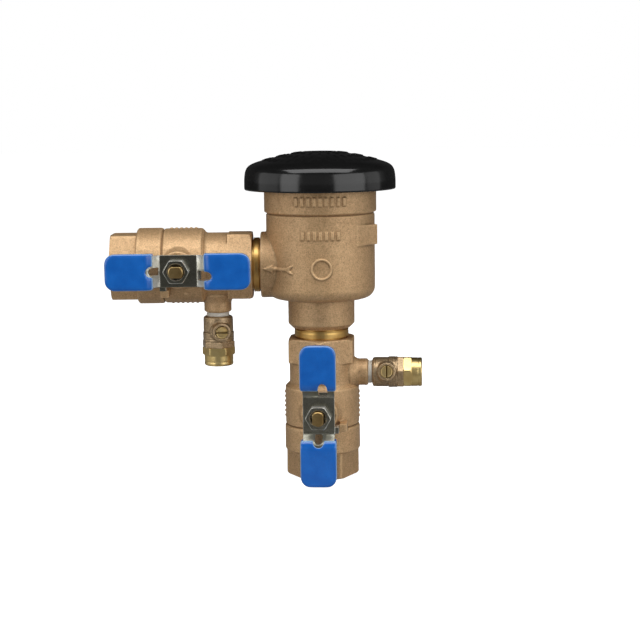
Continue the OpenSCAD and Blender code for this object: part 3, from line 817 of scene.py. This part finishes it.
def body_marks(points, normals):
    x, y, z = points[:, 0], points[:, 1], points[:, 2] - UP
    radius = np.hypot(x, y)
    outward = (normals[:, 0] * x + normals[:, 1] * y) > 0.3 * radius
    faces_front = (y < -12) & (normals[:, 1] < -0.2)
    front = faces_front & (radius > 30.5)
    # parting line at the right side
    offset = 0.10 * bell(np.abs(y), 0.5) * (z < 160) * (x > 20) * (radius > 19.5)
    # crisp tops on the bars and the circle
    gap = np.full(len(points), 9.0)
    for count, height, foot in BAR_ROWS:
        for bar_x in centred(count, BAR_PITCH):
            gap = np.minimum(gap, np.maximum(
                np.abs(x - bar_x) - BAR_WIDTH / 2,
                np.abs(z - foot - height / 2) - height / 2))
    circle = np.abs(np.hypot(x - CIRCLE_X, z - OUTLET_Z) - CIRCLE_RADIUS)
    gap = np.where(front, np.minimum(gap, circle - CIRCLE_HALF_WIDTH), 9.0)
    offset += 0.42 * (1 - smoothstep(gap, -0.32, 0.18))
    # and on the arrow
    near = (front | (faces_front & (x < -16))) & (np.abs(z - ARROW_Z) < 4) & (x < -14)
    gap = np.full(len(points), 9.0)
    gap[near] = polygon_distance(x[near] - ARROW_X, z[near] - ARROW_Z, ARROW)
    offset += 0.40 * (1 - smoothstep(gap, -0.35, 0.15))
    # the turned line under the rim
    offset -= 0.30 * bell(z - 161.55, 0.30) * (radius > 30) * outward
    return offset


def valve_marks(frame):
    tick_z, tick_pitch, tick_count = 44.0, 3.0, 6

    def displace(points, normals):
        x, y, z = local(points, frame).T
        angle = np.arctan2(y, x)
        radius = np.hypot(x, y)
        offset = np.zeros(len(points))
        # raised ticks on both flanks of the body
        for centre in (0.10, math.pi - 0.1):
            around = ((angle - centre + math.pi) % TURN - math.pi) * 22.4
            for step in centred(tick_count, tick_pitch):
                gap = np.maximum(np.abs(z - (tick_z + step)) - 0.75, np.abs(around) - 2.6)
                tick = 0.55 * (1 - smoothstep(gap, -0.35, 0.35)) * (radius > 21)
                offset = np.maximum(offset, tick)
        # parting line round the casting
        around = np.minimum(np.abs(angle), np.pi - np.abs(angle)) * 22
        offset += 0.12 * bell(around, 0.45) * (radius > 19) * (z > 17)
        # turned lines near each end of the barrel
        barrel = np.abs(radius - 22.6) < 1.4
        offset -= 0.38 * bell(z - 32.0, 0.34) * barrel
        offset -= 0.22 * bell(z - 56.2, 0.30) * barrel
        return offset

    return displace


# turned lines on a cock's barrel and by its flange: z, width, depth
COCK_LINES = [(41.2, 0.28, 0.20), (43.9, 0.24, 0.12), (45.4, 0.24, 0.12),
              (46.85, 0.25, 0.22), (33.2, 0.3, 0.12)]


def cock_lines(frame):
    def displace(points, normals):
        x, y, z = local(points, frame).T
        outer = (np.hypot(x, y) > 7.4) & (np.abs(normals @ frame[:3, 2]) < 0.75)
        offset = np.zeros(len(points))
        for line_z, width, depth in COCK_LINES:
            offset -= depth * bell(z - line_z, width) * outer
        return offset

    return displace


def screw_head(stem):
    """a fuller, slightly domed head on the cock's stem"""
    def displace(points, normals):
        x, y, z = local(points, stem).T
        normal = normals @ stem[:3, :3]
        radius = np.maximum(np.hypot(x, y), 1e-6)
        radial = np.clip((normal[:, 0] * x + normal[:, 1] * y) / radius, 0, 1)
        head = (z > 9.9) & (radius > 2.95)
        top = smoothstep(normal[:, 2], 0.6, 0.95) * (z > 12.7)
        return 0.38 * radial * head + 0.16 * top * (1 - (radius / 3.4) ** 2)

    return displace


def painted_slot_shade(stem):
    """share of painted shade: 1 down in the screw slot, 0 elsewhere"""
    def deep(points):
        _, y, z = local(points, stem).T
        return (np.abs(y) < 0.72) * smoothstep(-z, -12.85, -12.4) * (z > 11.2)

    return deep


cast("body_casting_cast", "body_casting", "breaker", "cast_bronze", "cast_bronze",
     voxel=0.40 * COARSE, smoothing=3, keep=0.33, displace=body_marks, rough=0.05)
for side in SIDES:
    handle_set = f"{side}_handle_set"
    cock_stem = stem_frame(COCK[side], COCK_STEM_Z)
    cast(f"{side}_valve_body_cast", f"{side}_valve_body",
         "breaker", "cast_bronze", "cast_bronze",
         voxel=0.36 * COARSE, smoothing=3, keep=0.45,
         displace=valve_marks(VALVE[side]), rough=0.045)
    cast(f"{side}_cock_body_cast", f"{side}_cock_body",
         "breaker", "cast_bronze", "cock_bronze",
         voxel=0.18 * COARSE, smoothing=4, keep=0.5,
         displace=cock_lines(COCK[side]), rough=0.05)
    cast(f"{side}_handle_plate", f"{side}_handle", handle_set, "zinc_plate", "zinc",
         voxel=0.18 * COARSE, smoothing=5, keep=0.28)
    cast(f"{side}_grip_dips", f"{side}_handle_grips", handle_set, "blue_vinyl", "blue_vinyl",
         voxel=0.35 * (1.4 if QUICK else 1), smoothing=50 if QUICK else 100, keep=0.5)
    cast(f"{side}_stem_turned", f"{side}_stem", handle_set, "yellow_brass", "brass_y",
         voxel=0.2 * COARSE, smoothing=3, keep=0.4)
    cast(f"{side}_cock_stem_slotted", f"{side}_cock_stem",
         f"{side}_cock_plug", "yellow_brass", "brass_screw",
         voxel=0.1 * COARSE, smoothing=4, keep=0.4,
         displace=screw_head(cock_stem), deep=painted_slot_shade(cock_stem))


# ------------------------------------------------------------------ turned pieces
# sections are (radius, z, corner radius)
def valve_end(side, spin):
    """threaded hexagon at a valve's open end"""
    section = [
        (16.9, 0, 0.25), (21.5, 0, 0.3), (22.42, 0.7, 0.35), (22.42, 15.7, 0.35),
        (19.8, 15.72, 0.1), (19.8, 33, 0.4), (17.05, 33, 0.1), (17.05, 25.97, 0.1),
        (12.5, 25.97, 0.3), (12.5, 17, 0.3), (15.2, 17, 0.1), (15.2, 1.6, 0.2),
    ]

    def shape(angle, radius, z):
        bore = (radius < 16.4) & (radius > 14.5) & (z > 0.2) & (z < 17)
        thread = threads(angle, z, start=1.0, end=16.5, pitch=2.209, depth=0.95)
        cut = radius + np.where(bore, thread, 0)
        outer = (z < 15.9) & (radius > 17)
        flats = hex_radius(angle, across_flats=39.2, spin=spin)
        return np.where(outer, softmin(cut, flats, blend=0.3), cut), z

    points, faces = wheel(section, step=1.2 if QUICK else 0.8,
                          segments=144 if QUICK else 216, shape=shape)
    # cast unevenness on the outside
    radius = np.linalg.norm(points[:, :2], axis=1)
    outward = points[:, :2] / np.maximum(radius, 1e-6)[:, None]
    offset = 0.05 * value_noise(points + 5, 2.1) + 0.04 * value_noise(points, 5.0)
    offset = offset * (radius > 17.5)
    points[:, :2] += outward * offset[:, None]
    add_mesh(f"{side}_valve_end_hex", points, faces, f"{side}_valve_end",
             "breaker", "cast_bronze", "cast_bronze", VALVE[side])


def handle_nut(side, spin):
    foot, top = 32.52, 38.5
    bore, outer = 5.1, 9.0      # what lies within bore is thread, the rest becomes hexagon
    section = [
        (4.75, foot + 0.3, 0.1), (5.3, foot, 0.1), (outer, foot, 0.25),
        (outer, top - 0.65, 0.12), (8.2, top - 0.02, 0.12), (5.45, top, 0.1),
        (4.85, top - 0.6, 0.1),
    ]

    def shape(angle, radius, z):
        flats = softmin(hex_radius(angle, across_flats=13.8, spin=spin), 7.75, blend=0.12)
        thread = threads(angle, z, start=foot + 0.2, end=top - 0.3, pitch=1.25, depth=0.4)
        hexagon = bore + (radius - bore) * (flats - bore) / (outer - bore)
        return np.where(radius < bore, radius + thread, hexagon), z

    points, faces = wheel(section, step=0.28, segments=216, shape=shape)
    add_mesh(f"{side}_handle_nut_hex", points, faces, f"{side}_handle_nut",
             f"{side}_handle_set", "zinc_plate", "zinc_nut",
             stem_frame(VALVE[side], HANDLE_STEM_Z))


def cock_end(side, hex_at, material):
    """threaded brass end of a test cock, its hexagon at hex_at degrees on the valve"""
    section = [
        (2.6, 45.2, 0.2), (6.2, 44.97, 0.3), (6.5, 50.64, 0.1), (9.6, 50.66, 0.3),
        (10.1, 51.1, 0.3), (10.1, 55.0, 0.3), (9.6, 55.5, 0.3), (8.9, 55.52, 0.25),
        (8.9, 61.4, 0.3), (8.45, 62, 0.25), (6.7, 62, 0.2), (5.75, 61.2, 0.2),
        (5.7, 51.52, 0.1), (2.6, 51.5, 0.3),
    ]

    def shape(angle, radius, z):
        bore = (radius < 6.6) & (radius > 5.0) & (z > 51.6)
        thread = threads(angle, z, start=52, end=61.6, pitch=1.41, depth=0.6)
        cut = radius + np.where(bore, thread, 0)
        flange = (z > 50.6) & (z < 55.6) & (radius > 6.9)
        flats = hex_radius(angle, across_flats=17.8, spin=hex_at - COCK_CLOCK[side])
        cut = np.where(flange, softmin(cut, flats, blend=0.3), cut)
        # a shallow turned groove near the open end
        return cut - 0.18 * bell(z - 59.6, 0.28) * (radius > 8), z

    points, faces = wheel(section, step=0.36, segments=216, shape=shape)
    add_mesh(f"{side}_cock_end_brass", points, faces, f"{side}_cock_end",
             "breaker", "yellow_brass", material, COCK[side])


def cock_tape(side, seed):
    """thread tape round a test cock, wrinkled and frayed at both edges"""
    section = [(6.12, 28.9, 0.1), (6.7, 28.92, 0.3), (6.95, 30.0, 0.5),
               (6.75, 31.2, 0.3), (6.12, 31.28, 0.1)]
    phase_1, phase_2, phase_3 = np.random.RandomState(seed).rand(3) * TURN

    def shape(angle, radius, z):
        lay = 0.16 * ((z / 0.75 - angle / TURN) % 1.0)
        wrinkle = (0.22 * np.sin(3 * angle + phase_1) * np.sin(z * 2.1 + phase_2)
                   + 0.12 * np.sin(11 * angle + phase_3 + z * 4))
        fray = np.clip(np.sin(7 * angle + phase_2) + 0.6 * np.sin(17 * angle + phase_1), 0, 2)
        fray = 0.30 * fray * (bell(z - 28.95, 0.35) + bell(z - 31.2, 0.35))
        return np.where(radius > 6.3, radius + lay + wrinkle * 0.6 + fray, radius), z

    points, faces = wheel(section, step=0.16, segments=240, shape=shape, corner_steps=3)
    add_mesh(f"{side}_cock_tape_wrap", points, faces, f"{side}_cock_tape",
             "breaker", "thread_tape", "tape", COCK[side])


def nipple(side, start, band_start, band_end, end, material, frame):
    """short pipe with a thicker plain band between band_start and band_end"""
    bore, chamfer, pipe, band = 13, 14.6, 15.15, 16.7
    section = [
        (bore, start, 0.3), (chamfer, start, 0.3), (pipe, start + 0.8, 0.2),
        (pipe, band_start, 0.05), (band, band_start + 0.03, 0.3),
        (band, band_end - 0.03, 0.3), (pipe, band_end, 0.05), (pipe, end - 0.8, 0.2),
        (chamfer, end, 0.3), (bore, end, 0.3),
    ]

    def shape(angle, radius, z):
        # a thread scratch by each end of the band
        scratch = (0.22 * bell(z - (band_end - 0.95), 0.16)
                   + 0.12 * bell(z - (band_start + 0.7), 0.16))
        return radius - scratch * (radius > 16.2), z

    points, faces = wheel(section, step=0.7, segments=216, shape=shape)
    add_mesh(f"{side}_nipple_turned", points, faces, f"{side}_nipple",
             "breaker", "yellow_brass", material, frame)


valve_end("inlet", spin=4)
valve_end("outlet", spin=30)
handle_nut("inlet", spin=0)
handle_nut("outlet", spin=30)
cock_end("inlet", hex_at=18, material="brass_x")
cock_end("outlet", hex_at=0, material="brass_z")
cock_tape("inlet", seed=3)
cock_tape("outlet", seed=11)
# the lower end stays with the inlet valve while the breaker is lifted
nipple("inlet", start=72 - UP, band_start=86.65 - UP, band_end=90.25, end=104.9,
       material="nipple_z", frame=BODY)
nipple("outlet", start=-14, band_start=0.65, band_end=4.15, end=18.8,
       material="nipple_x", frame=place(OUTLET_PORT_X, 0, OUTLET_Z + UP, (-90, "Y")))


# ------------------------------------------------------------------ canopy
# (radius, z), from the top of the axis down to the lip, then back up inside
CANOPY_OUTER = [
    (0, CANOPY_TOP), (7.2, 198.7), (16, 197.9), (24, 196.4), (29.6, 195.1),
    (33.8, 194.0), (36.9, 193.2), (40.0, 192.2), (42.5, 191.0), (44.1, 189.7),
    (45.0, 188.3), (45.5, 187.0), (45.9, 184.8), (46.15, 182), (46.2, 179), (46.2, 176.9),
]
CANOPY_LIP = [(46.1, 176.4), (45.8, 176.05), (45.3, 176), (44.5, 176), (44.05, 176.1),
              (43.75, 176.5)]
CANOPY_INNER = [(43.7, 177), (43.7, 181), (43.2, 185), (41.6, 187.8), (38.4, 189.9),
                (34.4, 191.9)]
CANOPY_RING = [(34.2, 191.8), (34.2, 188.0), (34.0, 187.5), (32.4, 187.5), (32.2, 188.0),
               (32.2, 191.9), (32.0, 192.02), (27.2, 192.02), (27, 192.3), (27, 193.3)]
CANOPY_CEILING = [(26.6, 193.4), (24, 193.9), (16, 195.4), (7.2, 196.3), (0, 196.5)]
# points above this line (radii, z) are on the top skin
SKIN_RADII = [0, 7.2, 16, 24, 33, 38.4]
SKIN_Z = [197.6, 197.4, 196.5, 195.0, 193.4, 191.2]
# rings of raised radial bars: inner radius, outer radius, number, height
CANOPY_BARS = [(12.6, 17.6, 18, 0.55), (21.8, 26.8, 30, 0.55), (30.6, 35.2, 42, 0.5)]


def canopy():
    profile = np.vstack([
        catmull_rom(CANOPY_OUTER, 8), CANOPY_LIP, catmull_rom(CANOPY_INNER, 6),
        CANOPY_RING, catmull_rom(CANOPY_CEILING, 5)])
    # even steps on the dome so that its marks are crisp
    profile = stretch(profile, 1.0 if QUICK else 0.75, closed=False)

    def shape(angle, radius, z):
        top = (z > 192.4) & (z > np.interp(radius, SKIN_RADII, SKIN_Z))
        raised = np.zeros_like(radius)
        for inner, outer, count, height in CANOPY_BARS:
            middle, half = (inner + outer) / 2, (outer - inner) / 2
            cell = angle / TURN * count
            index = np.floor(cell).astype(int) % count
            across = ((cell % 1.0) - 0.5) * TURN * middle / count
            # each third bar is short
            reach = np.where(index % 3 == 2, 0.55 * half, half)
            gap = np.maximum(np.abs(across) - 0.55, np.abs(radius - middle) - reach)
            raised = np.maximum(raised, height * (1 - smoothstep(gap, -0.35, 0.35)))
        # raised circle inside the bars
        circle = 0.35 * (1 - smoothstep(np.abs(radius - 9.2), 0.25, 0.7))
        return radius, z + np.maximum(raised, circle) * top

    points, faces = dome(profile, 300 if QUICK else 400, shape)
    add_mesh("canopy_moulding", points, faces, "canopy",
             "breaker", "canopy_plastic", "canopy_black", BODY)


canopy()


# ------------------------------------------------------------------ springs
def spring(node, joint, radius, wire, bottom, top):
    """coil with a closed turn at each end; its top stays put as the joint squashes it"""
    turns, turn_steps, travel = 6, 40, 8.0
    low, high, close = bottom + wire, top - wire, 2.15 * wire
    path = []
    for i in range(turns * turn_steps + 1):
        t = i / turn_steps
        if t < 1:
            z = low + t * close
        elif t > turns - 1:
            z = high - (turns - t) * close
        else:
            z = low + close + (high - low - 2 * close) * (t - 1) / (turns - 2)
        path.append((radius * math.cos(TURN * t), radius * math.sin(TURN * t), z))
    points, faces = tube(path, wire, segments=12)
    coil = add_mesh(f"{node}_coil", points, faces, node,
                    "breaker", "spring_steel", "steel", BODY)
    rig.squash(coil, joint, axis=(0, 0, 1), anchor=(0, 0, (top + UP) * MM),
              keep=(top - bottom - travel) / (top - bottom))


spring("check_spring", "check_poppet_lift", radius=7, wire=0.55, bottom=122.55, top=137.45)
spring("air_spring", "air_inlet_lift", radius=5, wire=0.4, bottom=160.05, top=175.95)


# ------------------------------------------------------------------ stage (metres from here)
def stage_floor():
    half, z = 6.0, -0.0006
    mesh = bpy.data.meshes.new("floor")
    corners = [(-half, -half, z), (half, -half, z), (half, half, z), (-half, half, z)]
    mesh.from_pydata(corners, [], [(0, 1, 2, 3)])
    floor = add_object("floor", mesh)
    material = bpy.data.materials.new("floor_pale")
    graph = Graph(material, "BSDF_PRINCIPLED")
    # the camera sees a glowing white floor, while the product is lit by a greyer one
    seen = graph.node("ShaderNodeLightPath").outputs["Is Camera Ray"]
    glow = graph.node("ShaderNodeMapRange", {"Value": seen}).outputs[0]
    position = graph.split(graph.node("ShaderNodeNewGeometry").outputs["Position"])
    # that grey is darker in front of the product
    grey = graph.node("ShaderNodeMapRange", {
        "From Min": -0.24, "From Max": -0.10, "To Min": 0.16, "To Max": 0.40,
        "Value": position["Y"]}, interpolation_type="SMOOTHSTEP").outputs[0]
    graph.finish(
        Roughness=0.9, Specular_IOR_Level=0.0, Emission_Color=(1, 1, 1),
        Emission_Strength=glow, Base_Color=graph.mix(seen, grey, (0.86, 0.86, 0.86)))
    mesh.materials.append(material)
    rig.stage(floor)


def studio_world():
    world = bpy.data.worlds.new("studio")
    bpy.context.scene.world = world
    graph = Graph(world, "BACKGROUND")
    direction = graph.split(graph.node("ShaderNodeTexCoord").outputs["Generated"])

    def along(axis, stops):
        """grey by direction: position 0 is the -axis side and 1 the +axis side"""
        spread = graph.node("ShaderNodeMapRange", {
            "From Min": -1, "From Max": 1, "Value": direction[axis]}).outputs[0]
        return graph.ramp(spread, stops)

    depth = along("Y", [(0.0, 0.24), (0.2, 0.26), (0.36, 0.40), (0.6, 0.30),
                        (0.75, 0.05), (1.0, 0.03)])
    height = along("Z", [(0.0, 0.4), (0.45, 0.8), (0.5, 1.0), (0.66, 0.8),
                         (0.78, 0.12), (1.0, 0.12)])
    light = graph.mix(1.0, depth, height, blend="MULTIPLY")
    # the camera itself sees white
    seen = graph.node("ShaderNodeLightPath").outputs["Is Camera Ray"]
    graph.finish(Color=graph.mix(seen, light, (1, 1, 1)), Strength=1.0)


def from_front(degrees, distance, z):
    """a place round the Z axis, 0 in front and positive to the right"""
    angle = math.radians(degrees)
    return (distance * math.sin(angle), -distance * math.cos(angle), z)


def area_light(name, location, aim_z, width, height, power):
    light = bpy.data.lights.new(name, "AREA")
    light.shape = "RECTANGLE"
    light.size, light.size_y = width, height
    light.energy = power
    lamp = add_object(name, light)
    lamp.location = location
    aim = Vector((0, 0, aim_z)) - Vector(location)
    lamp.rotation_euler = aim.to_track_quat("-Z", "Y").to_euler()


# lights round the product: name, degrees from the front, distance, width, power
SIDE_LIGHTS = [
    ("left_box", -46, 1.2, 0.62, 3.2),
    ("left_fall", -84, 1.25, 0.90, 1.4),
    ("right_box", 46, 1.2, 1.10, 5.0),
    ("right_fall", 88, 1.25, 0.60, 0.9),
]


def camera():
    view = bpy.data.cameras.new("camera")
    view.lens = 85.5
    view.sensor_width = 36.0
    view.clip_start = 0.05
    body = add_object("camera", view)
    body.location = (0.0015, -0.93, 0.230 + UP * MM)
    aim = Vector((-0.0009, 0, 0.09505 + UP * MM)) - body.location
    level = aim.to_track_quat("-Z", "Y").to_matrix().to_4x4()
    roll = Matrix.Rotation(math.radians(0.67), 4, aim.normalized())
    body.rotation_mode = "QUATERNION"
    body.rotation_quaternion = (roll @ level).to_quaternion()
    bpy.context.scene.camera = body


stage_floor()
studio_world()
area_light("overhead", (0.0, -0.38, 1.05), aim_z=0.12, width=1.5, height=0.7, power=10.3)
for name, degrees, distance, width, power in SIDE_LIGHTS:
    area_light(name, from_front(degrees, distance, z=0.30), aim_z=0.14,
               width=width, height=0.8, power=power)
camera()
bpy.context.scene.view_settings.view_transform = "Standard"
bpy.context.scene.view_settings.look = "None"

sizes["visual"] = bounds()
try:
    with open("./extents.json", "w") as size_file:
        json.dump(sizes, size_file)
except OSError:
    pass
